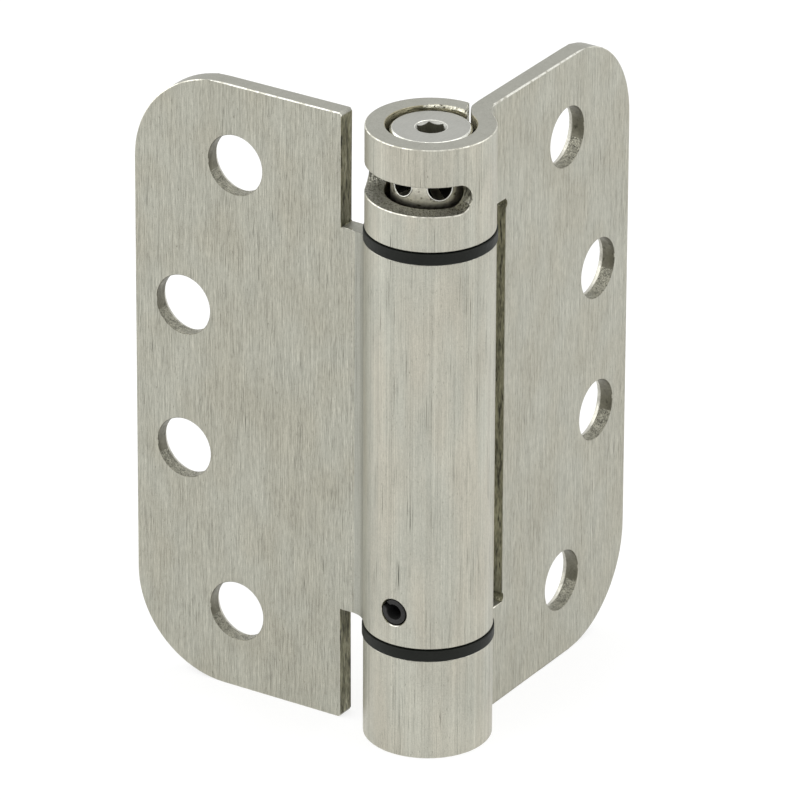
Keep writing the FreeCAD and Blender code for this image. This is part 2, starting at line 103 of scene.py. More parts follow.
# %% [markdown]
# Materials, the floor and the world are all made of nodes. Three small helpers keep the recipes
# below short: one adds a node and fills its inputs, one does a sum, and one empties a tree. Written
# this way, a recipe reads from what goes in to what comes out.

# %% Node helpers


def add(tree, kind, inputs=None, **settings):
    """A node with its settings. An input is given as a plain value or as another node's output."""
    node = tree.nodes.new(kind)
    for name, setting in settings.items():
        setattr(node, name, setting)
    for socket, given in (inputs or {}).items():
        if isinstance(given, bpy.types.NodeSocket):
            tree.links.new(given, node.inputs[socket])
        else:
            node.inputs[socket].default_value = given
    return node


def maths(tree, operation, *values):
    """The result of one sum on plain values or other nodes' outputs."""
    return add(tree, "ShaderNodeMath", dict(enumerate(values)), operation=operation).outputs[0]


def empty_tree(owner):
    """The node tree of a material or a world, with nothing in it."""
    owner.use_nodes = True
    owner.node_tree.nodes.clear()
    return owner.node_tree


# %% [markdown]
# The set is a white table under soft light. Metal shows what stands around it, so the room matters
# as much as the lamps. The world and the floor look white to the camera and in reflections, while
# the light that they shed is weaker. The floor keeps a part of its own shade, so the hinge still
# drops a shadow on it.

# %% Floor and room
WHITE = (1.0, 1.0, 1.0, 1.0)
FLOOR_HALF = 3.0
FLOOR_GLOW = 0.76
FLOOR_SHADE = (0.32, 0.32, 0.32, 1.0)
FLOOR_BOUNCE = (0.8, 0.8, 0.8, 1.0)
ROOM_LIGHT = 0.55
ROOM_SHOWN = 1.0


def seen_directly(tree):
    """1 for camera, mirror and glass rays, 0 for the rays that carry light."""
    rays = add(tree, "ShaderNodeLightPath").outputs
    either = maths(tree, "MAXIMUM", rays["Is Camera Ray"], rays["Is Glossy Ray"])
    return maths(tree, "MAXIMUM", either, rays["Is Transmission Ray"])


def end_in_two_looks(tree, output, lighting, shown):
    """Ends a tree that lights the hinge in one way and is itself seen in another."""
    mixed = add(tree, "ShaderNodeMixShader", {0: seen_directly(tree), 1: lighting.outputs[0],
                                              2: shown.outputs[0]})
    add(tree, output, {"Surface": mixed.outputs[0]})


def white_floor():
    """A wide table that looks white and still takes the hinge's shadow."""
    mesh = bpy.data.meshes.new("floor")
    corners = [(-1, -1), (1, -1), (1, 1), (-1, 1)]
    mesh.from_pydata([(FLOOR_HALF * x, FLOOR_HALF * y, 0) for x, y in corners], [], [(0, 1, 2, 3)])
    floor = bpy.data.objects.new("floor", mesh)
    scene.collection.objects.link(floor)
    material = bpy.data.materials.new("white_table")
    tree = empty_tree(material)
    bounce = add(tree, "ShaderNodeBsdfDiffuse", {"Color": FLOOR_BOUNCE})
    shade = add(tree, "ShaderNodeBsdfDiffuse", {"Color": FLOOR_SHADE})
    glow = add(tree, "ShaderNodeEmission", {"Color": WHITE, "Strength": FLOOR_GLOW})
    shown = add(tree, "ShaderNodeAddShader", {0: shade.outputs[0], 1: glow.outputs[0]})
    end_in_two_looks(tree, "ShaderNodeOutputMaterial", bounce, shown)
    mesh.materials.append(material)


def white_room():
    """A world that looks white and lights the hinge more weakly than it looks."""
    world = bpy.data.worlds.new("white_room")
    tree = empty_tree(world)
    light = add(tree, "ShaderNodeBackground", {"Color": WHITE, "Strength": ROOM_LIGHT})
    shown = add(tree, "ShaderNodeBackground", {"Color": WHITE, "Strength": ROOM_SHOWN})
    end_in_two_looks(tree, "ShaderNodeOutputWorld", light, shown)
    scene.world = world


white_floor()
white_room()
print("floor", 2 * FLOOR_HALF, "m wide, room light", ROOM_LIGHT)

# %% [markdown]
# A large soft lamp on each side gives the barrel its gentle shading, a third reaches the edges of
# the left leaf, and one from above and behind lifts the top faces. They are large for their
# distance, because a small lamp mirrored in a ground face would burn out to white.

# %% Lamps
# Azimuth and elevation in degrees, distance and size in metres, power in watts.
LAMPS = {
    "right_lamp": (80, 28, 0.9, 0.85, 2.6),
    "left_lamp": (-62, 48, 0.60, 0.4, 0.8),
    "edge_lamp": (-112, 22, 0.9, 0.85, 2.8),
    "top_lamp": (150, 65, 0.9, 0.6, 1.6),
}


def soft_lamp(name, azimuth, elevation, distance, size, power):
    """A square lamp that faces the hinge. Azimuth 0 is straight behind the camera."""
    turn = TURN + math.radians(azimuth)
    level = math.radians(elevation)
    toward = Vector((math.sin(turn) * math.cos(level), -math.cos(turn) * math.cos(level),
                     math.sin(level)))
    data = bpy.data.lights.new(name, "AREA")
    data.size = size
    data.energy = power
    lamp = bpy.data.objects.new(name, data)
    lamp.location = TARGET + toward * distance
    lamp.rotation_euler = toward.to_track_quat("Z", "Y").to_euler()
    scene.collection.objects.link(lamp)


for name, numbers in LAMPS.items():
    soft_lamp(name, *numbers)
print("lamps:", ", ".join(LAMPS))

# %% [markdown]
# Every metal here is one recipe with different numbers. Rolled and brushed plate has fine scratches
# that all run one way, so its noise is very short across the barrel's axis and long along it. The
# noise lives in Object coordinates, so it runs unbroken round the knuckle and over the leaf. Layers
# of noise add up to a brightness, which also drives the roughness and a shallow bump, and a few
# dark flecks stand for pits and scratches in the plating. Flecks may keep to worn zones.

# %% A metal made of layers of grain
SOFT, CRISP = 1.0, 2.0
DRIFT_RANGE = (0.35, 0.65)
ZONE_RANGE = (0.46, 0.60)
ROUGHER_IF_DARK = 0.4
BUMP_DEPTH = 0.1 * MM


def grain(tree, size, detail):
    """Noise whose grains have a size in millimetres along X, Y and Z."""
    place = add(tree, "ShaderNodeTexCoord").outputs["Object"]
    scaled = add(tree, "ShaderNodeMapping", {"Vector": place, "Scale": [1 / (MM * s) for s in size]})
    texture = add(tree, "ShaderNodeTexNoise", {"Vector": scaled.outputs[0], "Scale": 1.0,
                                               "Detail": detail})
    return texture.outputs["Fac"]


def ramp(tree, value, start, full):
    """0 up to the start, 1 from full on, and even in between."""
    limits = {"Value": value, "From Min": start, "From Max": full}
    return add(tree, "ShaderNodeMapRange", limits).outputs[0]


def blended(tree, factor, first, second):
    """One colour at factor 0, the other at factor 1."""
    return add(tree, "ShaderNodeMix", {0: factor, 6: first, 7: second}, data_type="RGBA").outputs[2]


def metal(name, colour, roughness, layers, shift=None, flecks=(), bump=0.0, metallic=0.9,
          specular=0.5):
    """A metal whose brightness, roughness and bump follow layers of (size, detail, strength)."""
    material = bpy.data.materials.new(name)
    tree = empty_tree(material)
    level = 1 - sum(strength for size, detail, strength in layers)
    for size, detail, strength in layers:
        level = maths(tree, "MULTIPLY_ADD", grain(tree, size, detail), 2 * strength, level)
    tone = colour
    if shift:
        size, other = shift
        drift = ramp(tree, grain(tree, size, SOFT), *DRIFT_RANGE)
        tone = blended(tree, drift, (*colour, 1.0), (*other, 1.0))
    tinted = add(tree, "ShaderNodeVectorMath", {0: tone, "Scale": level}, operation="SCALE").outputs[0]
    for size, start, full, dark, *zones in flecks:
        spots = ramp(tree, grain(tree, size, CRISP), start, full)
        for zone in zones:
            spots = maths(tree, "MULTIPLY", spots, ramp(tree, grain(tree, zone, SOFT), *ZONE_RANGE))
        tinted = blended(tree, spots, tinted, (*dark, 1.0))
    rough = maths(tree, "MULTIPLY_ADD", level, -ROUGHER_IF_DARK, roughness + ROUGHER_IF_DARK)
    relief = add(tree, "ShaderNodeBump", {"Height": level, "Strength": bump, "Distance": BUMP_DEPTH})
    shader = add(tree, "ShaderNodeBsdfPrincipled", {
        "Base Color": tinted, "Metallic": metallic, "Roughness": rough,
        "Specular IOR Level": specular, "Normal": relief.outputs[0]})
    add(tree, "ShaderNodeOutputMaterial", {"Surface": shader.outputs[0]})
    return material


# %% [markdown]
# The plate's own faces are warm grey nickel over upright scratches. The leaf is brushed in short
# strokes, and drifts between a warmer and a cooler tone. The knuckle was drawn through rollers, so
# its lines run on for centimetres. The hollow of the bend got less of the brush, and its darker tone
# is painted shade.

# %% The brushed plate


def streak(width, height):
    """A grain that is as deep as it is wide, in millimetres."""
    return (width, width, height)


def even(size):
    """A grain of the same size every way."""
    return streak(size, size)


BRUSH_FINE = streak(0.085, 1.3)
BRUSH_LONG = streak(0.080, 7.0)
BRUSH_BROAD = streak(0.30, 6.0)
DRAWN_LINE = streak(0.11, 40.0)
DRAWN_BAND = streak(0.9, 60.0)
DRAWN_CLOUD = streak(4.0, 20.0)
CLOUD = streak(7.0, 9.0)
SPECK = streak(0.10, 0.16)
DASH = streak(0.11, 0.8)
SCRATCH = streak(0.11, 4.0)
LONG_SCRATCH = streak(0.13, 9.0)
WORN_ZONE = streak(2.6, 9.0)
DULL_PIT = (0.20, 0.195, 0.155)
DARK_PIT = (0.13, 0.13, 0.105)
COOL_NICKEL = (0.418, 0.414, 0.352)
COOL_KNUCKLE = (0.477, 0.474, 0.408)
brushed_nickel = metal(
    "brushed_nickel", (0.426, 0.414, 0.343), 0.42,
    [(BRUSH_FINE, 2.0, 0.44), (BRUSH_LONG, 1.0, 0.44), (BRUSH_BROAD, 2.0, 0.12), (SPECK, 1.0, 0.24),
     (CLOUD, 1.0, 0.10)],
    shift=(CLOUD, COOL_NICKEL),
    flecks=[(DASH, 0.65, 0.78, DULL_PIT), (SCRATCH, 0.59, 0.76, DARK_PIT, WORN_ZONE)], bump=0.25)
drawn_knuckle = metal(
    "drawn_knuckle", (0.497, 0.478, 0.402), 0.42,
    [(DRAWN_LINE, 2.0, 0.30), (DRAWN_BAND, 2.0, 0.15), (BRUSH_FINE, 2.0, 0.22), (SPECK, 1.0, 0.22),
     (CLOUD, 1.0, 0.10)],
    shift=(DRAWN_CLOUD, COOL_KNUCKLE),
    flecks=[(DASH, 0.65, 0.78, DULL_PIT), (LONG_SCRATCH, 0.58, 0.72, DARK_PIT, WORN_ZONE)],
    bump=0.25)
# The hollow of the bend: a darker tone, painted shade.
bend_hollow_painted_shade = metal(
    "bend_hollow_painted_shade", (0.372, 0.372, 0.322), 0.42,
    [(DRAWN_LINE, 2.0, 0.36), (BRUSH_LONG, 1.0, 0.30), (SPECK, 1.0, 0.24), (CLOUD, 1.0, 0.10)],
    flecks=[(DASH, 0.65, 0.78, DULL_PIT)], bump=0.25)
print("plate:", brushed_nickel.name, drawn_knuckle.name, bend_hollow_painted_shade.name)

# %% [markdown]
# The hinge is one batch of plate, but each way of cutting leaves its own surface. The end faces
# were ground flat and are smooth and cool. Sheared walls are dark and torn. A punched hole's wall is
# smooth and carries painted shade where it looks down, and is grainy and carries painted light where
# it looks up. The slot is milled and speckled, with painted light on one side's upright walls, and
# the inside of the roll keeps the marks of the mandrel.

# %% The cut faces
ground_end = metal(
    "ground_end", (0.318, 0.316, 0.278), 0.50,
    [(even(0.16), 2.0, 0.20), (even(0.6), 2.0, 0.10), (even(3.0), 1.0, 0.06)],
    flecks=[(even(0.35), 0.68, 0.78, (0.24, 0.24, 0.205))], bump=0.12)
torn_edge = metal(
    "torn_edge", (0.285, 0.276, 0.196), 0.55,
    [(streak(0.2, 1.1), 3.0, 0.8), (streak(0.9, 5.0), 2.0, 0.8)],
    flecks=[(streak(0.35, 2.4), 0.55, 0.68, (0.07, 0.07, 0.053))], bump=0.8)
# Hole walls that look down: painted shade.
punched_wall_painted_shade = metal(
    "punched_wall_painted_shade", (0.195, 0.188, 0.148), 0.45,
    [(even(0.3), 2.0, 0.25), (streak(1.2, 2.5), 2.0, 0.35)],
    flecks=[(streak(0.9, 1.2), 0.62, 0.74, (0.10, 0.10, 0.075))], bump=0.3)
# Hole walls that look up: grain with painted light.
broken_wall_painted_light = metal(
    "broken_wall_painted_light", (0.285, 0.278, 0.225), 0.45,
    [(even(0.18), 2.0, 1.0), (even(0.9), 2.0, 0.6)],
    flecks=[(even(0.26), 0.59, 0.70, (0.09, 0.09, 0.07))], bump=1.0)
sunk_rim = metal(
    "sunk_rim", (0.50, 0.49, 0.43), 0.38,
    [(even(0.3), 2.0, 0.3), (even(1.5), 2.0, 0.4)], bump=0.3)
milled_slot = metal(
    "milled_slot", (0.42, 0.413, 0.352), 0.38,
    [(even(0.20), 2.0, 1.1), (even(1.4), 2.0, 0.5)],
    flecks=[(even(0.22), 0.53, 0.62, (0.12, 0.12, 0.095))], bump=1.0)
# Upright slot walls on one side are painted lighter: painted light.
slot_end_painted_light = metal(
    "slot_end_painted_light", (0.58, 0.57, 0.48), 0.36,
    [(streak(0.3, 0.9), 3.0, 1.0), (even(0.9), 2.0, 0.8)],
    flecks=[(streak(0.35, 0.8), 0.52, 0.64, (0.12, 0.118, 0.09))], bump=1.0)
rolled_bore = metal(
    "rolled_bore", (0.36, 0.335, 0.235), 0.5,
    [(even(0.3), 3.0, 0.5), (streak(1.8, 0.7), 2.0, 0.5)],
    flecks=[(streak(2.2, 0.35), 0.52, 0.62, (0.10, 0.095, 0.06))], bump=0.9)
print("cuts:", ground_end.name, torn_edge.name, punched_wall_painted_shade.name, broken_wall_painted_light.name, sunk_rim.name,
      milled_slot.name, slot_end_painted_light.name, rolled_bore.name)

# %% [markdown]
# The rims are brighter than any face. A thin burr where two faces meet is rubbed smooth, and its
# lighter colour is a painted highlight, which draws the light lines along the hinge. Flecks of a
# duller tone break the lines up, so the painted highlight is uneven. The rim of the roll near its end
# is crushed, bright and pitted.

# %% The rims
crushed_rim = metal(
    "crushed_rim", (0.60, 0.585, 0.48), 0.36,
    [(even(0.25), 3.0, 0.8), (even(0.9), 2.0, 0.8)],
    flecks=[(even(0.5), 0.54, 0.63, (0.09, 0.085, 0.06))], bump=1.0)
# A lighter colour for top edges and steel plug rims: a painted highlight.
burr_painted_highlight = metal(
    "burr_painted_highlight", (0.72, 0.715, 0.65), 0.3,
    [(even(0.5), 2.0, 0.4)],
    flecks=[(even(1.2), 0.54, 0.66, (0.45, 0.44, 0.38))], bump=0.1)
# Worn edges and the bend line: wear with a lighter colour, a painted highlight.
worn_edge_highlight = metal(
    "worn_edge_highlight", (0.66, 0.65, 0.57), 0.34,
    [(even(0.4), 2.0, 0.5)],
    flecks=[(streak(1.0, 1.6), 0.52, 0.64, (0.40, 0.39, 0.33))], bump=0.1)
# A lighter colour for the bar holes' lips and the plug's top rim: a painted highlight.
lip_painted_highlight = metal(
    "lip_painted_highlight", (0.72, 0.72, 0.66), 0.25,
    [(even(1.2), 1.0, 0.5)], bump=0.1)
print("rims:", crushed_rim.name, burr_painted_highlight.name, worn_edge_highlight.name, lip_painted_highlight.name)

# %% [markdown]
# The adjusting plug is turned from bar: its top has faint tool marks, and its neck rings of them.
# Its bar holes are deep and unlit, so their walls are painted near-black, as painted shade. The neck
# is darker towards its foot, where it meets its washer, partly dirt and partly painted shade, and the
# border of the dark band wanders with a soft noise.

# %% The turned plug and the spring
turned_face = metal(
    "turned_face", (0.366, 0.366, 0.338), 0.46,
    [((0.12, 2.5, 1.0), 2.0, 0.12), (even(0.3), 2.0, 0.10), (even(3.0), 1.0, 0.05)], bump=0.05)
turned_neck = metal(
    "turned_neck", (0.62, 0.60, 0.51), 0.34,
    [(streak(1.6, 0.2), 2.0, 0.10), (even(0.25), 2.0, 0.25), (even(1.5), 2.0, 0.25)],
    flecks=[(streak(0.9, 0.7), 0.60, 0.72, (0.16, 0.145, 0.10))], bump=0.15)
# Near-black bar hole walls: painted shade.
bar_hole_painted_shade = metal(
    "bar_hole_painted_shade", (0.012, 0.012, 0.010), 0.6,
    [(even(0.4), 2.0, 0.4)], bump=0.3, metallic=0.0, specular=0.1)
socket_wall = metal(
    "socket_wall", (0.26, 0.255, 0.20), 0.45,
    [(streak(0.4, 1.0), 2.0, 0.6)], bump=0.3)
spring_steel = metal(
    "spring_steel", (0.16, 0.16, 0.155), 0.4,
    [(even(0.4), 2.0, 0.3)], bump=0.2)
# Partly dirt, partly painted shade at the neck's foot.
SHADE_AND_DIRT = (0.05, 0.046, 0.032)
SHADE_AND_DIRT_FOOT = 89.7 * MM
SHADE_AND_DIRT_TOP = 91.2 * MM
SHADE_AND_DIRT_WANDER = 0.8 * MM


def paint_foot_shade_and_dirt(material):
    """Darkens a metal towards its foot, partly dirt and partly painted shade, with a border that
    wanders.
    """
    tree = material.node_tree
    shader = next(node for node in tree.nodes if node.type == "BSDF_PRINCIPLED")
    clean = shader.inputs["Base Color"].links[0].from_socket
    place = add(tree, "ShaderNodeTexCoord").outputs["Object"]
    height = add(tree, "ShaderNodeSeparateXYZ", {0: place}).outputs["Z"]
    border = maths(tree, "MULTIPLY_ADD", grain(tree, even(0.7), 3.0), -SHADE_AND_DIRT_WANDER, height)
    shade_and_dirt = add(tree, "ShaderNodeMapRange", {"Value": border, "From Min": SHADE_AND_DIRT_FOOT,
                                            "From Max": SHADE_AND_DIRT_TOP, "To Min": 1.0, "To Max": 0.0})
    mixed = blended(tree, shade_and_dirt.outputs[0], clean, (*SHADE_AND_DIRT, 1.0))
    tree.links.new(mixed, shader.inputs["Base Color"])


# The neck's foot: partly dirt, partly painted shade.
paint_foot_shade_and_dirt(turned_neck)
print("plug:", turned_face.name, turned_neck.name, bar_hole_painted_shade.name, socket_wall.name)

# %% [markdown]
# Two finishes aren't bare steel. The bushes are moulded nylon, charcoal with a faint bloom, and the
# roll pin is blackened steel.

# %% Nylon and blackened steel
washer_nylon = metal(
    "washer_nylon", (0.0125, 0.0140, 0.0115), 0.5,
    [(even(0.5), 2.0, 0.25), (even(4.0), 1.0, 0.2)], bump=0.2, metallic=0.0, specular=0.16)
blackened_steel = metal(
    "blackened_steel", (0.03, 0.03, 0.029), 0.42,
    [(even(0.3), 2.0, 0.5)], bump=0.3, metallic=0.3, specular=0.3)
print("dark finishes:", washer_nylon.name, blackened_steel.name)

# %% [markdown]
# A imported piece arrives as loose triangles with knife-sharp edges. No real edge is that sharp, and a
# sharp edge catches no light. So each piece gets a finished copy: its points are merged, its flat
# triangles joined, every face is given the finish that its cut left, and the edges are rounded by
# bevels whose own faces can wear a rim's finish. A bevel in mesh code, unlike a modifier, lets each
# piece choose which edges it softens. Weighted normals keep the big flat faces flat beside them.

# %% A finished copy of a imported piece
DOUBLES = 0.002 * MM
SAME_PLANE = math.radians(1)
SHARP = math.radians(30)
SHADED_SHARP = math.radians(50)
FLAT_FACE_WEIGHT = 80


def merged_mesh(node):
    """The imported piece's mesh with its doubles merged and its flat triangles joined."""
    mesh = bmesh.new()
    mesh.from_mesh(frame["nodes"][node].data)
    bmesh.ops.remove_doubles(mesh, verts=mesh.verts, dist=DOUBLES)
    bmesh.ops.dissolve_limit(mesh, angle_limit=SAME_PLANE, verts=mesh.verts, edges=mesh.edges)
    return mesh


def sharp_edges(mesh, wanted):
    """The sharp edges that are wanted, by their two faces."""
    return [edge for edge in mesh.edges
            if edge.is_manifold and edge.calc_face_angle() > SHARP and wanted(*edge.link_faces)]


def soften(mesh, edges, width, segments, material=-1):
    """Rounds the edges. The new faces take the material of that number, or their neighbours'."""
    bmesh.ops.bevel(mesh, geom=edges, offset=width, offset_type="OFFSET", segments=segments,
                    profile=0.5, affect="EDGES", clamp_overlap=False, material=material,
                    loop_slide=True)


def stand_in(piece, node):
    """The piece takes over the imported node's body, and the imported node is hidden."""
    bodies = frame["record"]["behaviour"]["bodies"]
    body = next(body for body, nodes in bodies.items() if node in nodes)
    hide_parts(node)
    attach(piece, body)
    print(piece.name, "stands for", node, "on", body, "with", len(piece.data.polygons), "faces")


def to_piece(mesh, name, finishes, node=None):
    """Makes the mesh an object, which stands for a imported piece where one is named."""
    data = bpy.data.meshes.new(name)
    mesh.to_mesh(data)
    mesh.free()
    for finish in finishes:
        data.materials.append(finish)
    data.polygons.foreach_set("use_smooth", [True] * len(data.polygons))
    data.set_sharp_from_angle(angle=SHADED_SHARP)
    piece = bpy.data.objects.new(name, data)
    scene.collection.objects.link(piece)
    weighted = piece.modifiers.new("flat faces stay flat", "WEIGHTED_NORMAL")
    weighted.keep_sharp = True
    weighted.weight = FLAT_FACE_WEIGHT
    if node:
        stand_in(piece, node)
    return piece


# %% [markdown]
# Both leaves are one plate, rolled at one edge. Seen in the leaf's own directions, out from the
# barrel, out of its back face and up, they differ only in their notches, so one rule can serve both.
# It needs the leaf's sizes, which are all in the frame: its box, its mounts and its openings.

# %% Sizes of the leaves
mounts = {mount["name"]: mount for mount in frame["record"]["mounts"]}
centre_low, centre_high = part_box("centre_knuckle_leaf")
LEAF_HEIGHT = centre_high.z
LEAF_REACH = -centre_low.x
BARREL = centre_high.x
BACK_FACE = -mounts["centre_leaf_back"]["pos_m"][1]
BEND_RADIUS = 4.0 * MM
BEND_START = math.sqrt((BARREL + BEND_RADIUS) ** 2 - (BACK_FACE + BEND_RADIUS) ** 2)
HOLE = mounts["centre_leaf_outer_screws"]["dims"]["hole_r_mm"] * MM
screw_holes = []
for row in ("outer", "inner"):
    mount = mounts[f"centre_leaf_{row}_screws"]
    for side in (-1, 1):
        up = mount["pos_m"][2] + side * mount["dims"]["spacing_y_mm"] * MM / 2
        screw_holes.append((-mount["pos_m"][0], up))
slot_low, slot_high = next(row["box_m"] for row in frame["record"]["physics"]["openings"]
                           if row["name"] == "adjusting_slot")


def own_directions(node, vector):
    """A vector in the leaf's own directions: out from the barrel, out of the back face, up."""
    if node == "centre_knuckle_leaf":
        return Vector((-vector.x, -vector.y, vector.z))
    return Vector((vector.y, vector.x, vector.z))


print("leaf", round(LEAF_REACH / MM, 1), "by", round(LEAF_HEIGHT / MM, 1), "mm, barrel radius",
      round(BARREL / MM, 2), "screw holes per leaf", len(screw_holes))

# %% [markdown]
# The rule reads a face's place and the way it looks. A face at either end is ground, and so is the
# rounded outline at the corners. A wall near a screw hole is punched with painted shade where it
# looks down, broken with painted light where it looks up, or sunk on the back. Inside the roll is
# the bore, the slot's walls are milled, one side's upright walls with painted light, and the roll's
# outside is drawn. The broad faces are brushed, but for the hollow of the bend, which gets painted
# shade. What is left is torn.

# %% Which finish a face of a leaf wears
(BRUSHED, DRAWN, GROUND, TORN, PUNCHED_SHADED, BROKEN_LIT, SUNK,
 BORE, MILLED, SLOT_END_LIT, BEND_SHADED, WORN_HIGHLIGHT, CRUSHED, BURR_HIGHLIGHT) = range(14)
leaf_finishes = [brushed_nickel, drawn_knuckle, ground_end, torn_edge, punched_wall_painted_shade, broken_wall_painted_light,
                 sunk_rim, rolled_bore, milled_slot, slot_end_painted_light, bend_hollow_painted_shade, worn_edge_highlight,
                 crushed_rim, burr_painted_highlight]
TOUCH = 0.05 * MM
KNUCKLE_REACH = 13.2 * MM
CORNER_REACH = LEAF_REACH - 17 * MM
CORNER_ZONE = 0.7 * MM
HOLE_ZONE = HOLE + 1.5 * MM
SLOT_FOOT = slot_low[2] - 0.3 * MM
SLOT_HEAD = slot_high[2] + 0.3 * MM
BEND_LIFT = BACK_FACE + 0.02 * MM
# How far a face looks one way: 1 is straight that way, 0 is across it.
SLOT_FLAT = 0.96
STRAIGHT = 0.9
MAINLY = 0.7
RISING = 0.35
PARTLY = 0.3
BARELY = 0.2


def near_an_end(place, margin):
    """Whether a place is within the margin of the leaf's foot or top."""
    return place.z < margin or place.z > LEAF_HEIGHT - margin


def roll_finish(place, facing, in_slot):
    """The finish of a face of the roll that doesn't look along its axis."""
    outward = (facing.x * place.x + facing.y * place.y) / math.hypot(place.x, place.y)
    if outward < -MAINLY:
        return BORE
    if abs(outward) < MAINLY and in_slot:
        # Upright slot walls on one side get painted light.
        return SLOT_END_LIT if abs(facing.z) < SLOT_FLAT and place.y > 0 else MILLED
    return DRAWN if outward > MAINLY else TORN


def leaf_finish(place, facing):
    """The finish that its cut left on a face, by its place and direction on its own leaf."""
    in_roll = math.hypot(place.x, place.y) < BARREL + TOUCH and place.x < BARREL
    in_slot = in_roll and SLOT_FOOT < place.z < SLOT_HEAD
    knuckle_end = place.x < KNUCKLE_REACH and not in_slot
    if abs(facing.z) > STRAIGHT and (near_an_end(place, TOUCH) or knuckle_end):
        return GROUND
    rounded_outline = abs(facing.z) > BARELY and abs(facing.y) < BARELY and not in_roll
    if near_an_end(place, CORNER_ZONE) and rounded_outline:
        return GROUND
    for out, up in screw_holes:
        if math.hypot(place.x - out, place.z - up) < HOLE_ZONE and abs(facing.y) < STRAIGHT:
            if facing.y < -BARELY:
                return SUNK
            # Walls that look up get painted light, walls that look down painted shade.
            return BROKEN_LIT if facing.z > RISING else PUNCHED_SHADED
    if in_roll:
        return roll_finish(place, facing, in_slot)
    if abs(facing.z) < PARTLY and abs(facing.y) > PARTLY:
        # The hollow of the bend gets painted shade.
        in_shaded_hollow = facing.y > 0 and place.x < BEND_START and place.y > BEND_LIFT
        return BEND_SHADED if in_shaded_hollow else BRUSHED
    return GROUND if place.x > CORNER_REACH else TORN


print("leaf finishes:", len(leaf_finishes))

# %% [markdown]
# The edges of a real leaf aren't alike. The top edge is rubbed smooth and given a bright colour, a
# painted highlight, other outside edges are worn and given a milder painted highlight, and the roll's
# closing crushed its inner rim near the tail. Each kind is picked by a rule about its two faces, and
# rounded by its own width. The crushed strip is wide, and its points are pushed about by a fixed
# noise, so its damage has real depth.

# %% Which edges of a leaf get painted highlights, wear or crushing
CRUSH_TURN = (-40, 20)
CRUSH_DEPTH = 0.28 * MM
CRUSH_GRAIN = 0.8 * MM
LOOKS_UP = 0.5
RELIEF_REACH = (12.4 * MM, 15.4 * MM)
RELIEF_AREA = 2 * MM * MM
LONG_EDGE = 5 * MM


def upper_first(face, other):
    """The two faces, the one that looks up more before the other."""
    return sorted((face, other), key=lambda side: -side.normal.z)


def top_edge_highlighted(face, other):
    """An edge with a painted highlight: the leaf's top face meets its brushed side."""
    top, side = upper_first(face, other)
    at_top = top.calc_center_median().z > LEAF_HEIGHT - TOUCH
    return top.normal.z > STRAIGHT and at_top and side.material_index == BRUSHED


def worn_and_highlighted(face, other):
    """Worn edge with a painted highlight: the plate's own face meets a ground end or a slot's lower
    wall.
    """
    finishes = {face.material_index, other.material_index}
    cut = face if face.material_index not in (BRUSHED, DRAWN) else other
    if not finishes & {BRUSHED, DRAWN}:
        return False
    if cut.material_index in (MILLED, SLOT_END_LIT):
        return cut.normal.z > LOOKS_UP
    return cut.material_index == GROUND


def chipped(node):
    """The inner rim of the roll near its tail, where the plate's end was crushed as it closed."""
    def wanted(face, other):
        top, wall = upper_first(face, other)
        place = own_directions(node, wall.calc_center_median())
        turn = math.degrees(math.atan2(place.y, place.x))
        at_tail = CRUSH_TURN[0] < turn < CRUSH_TURN[1]
        return top.normal.z > STRAIGHT and wall.material_index == BORE and at_tail
    return wanted


def outside_reliefs(node):
    """Every edge but those of the window's tiny reliefs, where a bevel would cross itself."""
    def wanted(face, other):
        for side in (face, other):
            reach = own_directions(node, side.calc_center_median()).x
            if RELIEF_REACH[0] < reach < RELIEF_REACH[1] and side.calc_area() < RELIEF_AREA:
                return False
        return True
    return wanted


def bend_start(mesh, node):
    """The upright edges of the back face where the bend begins."""
    found = []
    for edge in mesh.edges:
        ends = [own_directions(node, vert.co) for vert in edge.verts]
        upright = abs(ends[0].z - ends[1].z) > LONG_EDGE
        if upright and all(abs(end.x - BEND_START) < TOUCH and end.y > BACK_FACE - TOUCH
                           for end in ends):
            found.append(edge)
    return found


def crush(mesh):
    """Pushes the points inside the crushed strip about, as a crushed edge is never even."""
    for vert in mesh.verts:
        if all(face.material_index == CRUSHED for face in vert.link_faces):
            vert.co += vert.normal * (noise.noise(vert.co / CRUSH_GRAIN) * CRUSH_DEPTH)


print("crushed rim", CRUSH_TURN[1] - CRUSH_TURN[0], "degrees long")

# %% [markdown]
# The order of the bevels matters, because each leaves new edges for the next to find: the widest
# first, the plain rounding last. A bevel may run a hair past the plate's ends, so the points are
# held between them. Where bevels meet they leave slivers, which are merged at the very end.

# %% The two leaves
CREASE_WIDTH = 0.05 * MM
CRUSH_WIDTH = 0.42 * MM
BURR_WIDTH = 0.2 * MM
WORN_WIDTH = 0.14 * MM
EDGE_WIDTH = 0.1 * MM
SLIVER = 0.004 * MM


def close_up(mesh):
    """Merges the slivers that bevels leave where they meet, and counts the edges left open."""
    bmesh.ops.dissolve_degenerate(mesh, dist=SLIVER, edges=mesh.edges)
    bmesh.ops.remove_doubles(mesh, verts=mesh.verts, dist=SLIVER)
    print("edges without two faces:", sum(not edge.is_manifold for edge in mesh.edges))


